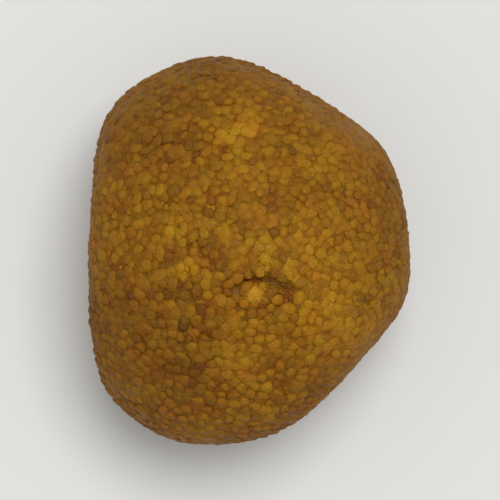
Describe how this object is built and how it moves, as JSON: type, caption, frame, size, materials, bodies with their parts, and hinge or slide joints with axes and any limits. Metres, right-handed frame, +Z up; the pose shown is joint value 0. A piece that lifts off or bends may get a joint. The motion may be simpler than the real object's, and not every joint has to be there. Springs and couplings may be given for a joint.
{
  "type": "boondi ladoo",
  "caption": "Ball-shaped sweet of fine fried gram-flour drops pressed together, a little longer than wide, with pressed sides and a flat spot to rest on.",
  "frame": {"origin": "on the resting surface, under the middle of the ball's outline seen from above", "axes": "+Z up from the flat spot; +Y along the ball's longest way; -X towards its flattest side"},
  "size_m": [0.0344, 0.042, 0.034],
  "materials": {
    "boondi": "fine golden-brown grains with a slight moist sheen of syrup and ghee"
  },
  "bodies": {
    "root": {"ladoo": "boondi"}
  },
  "joints": []
}
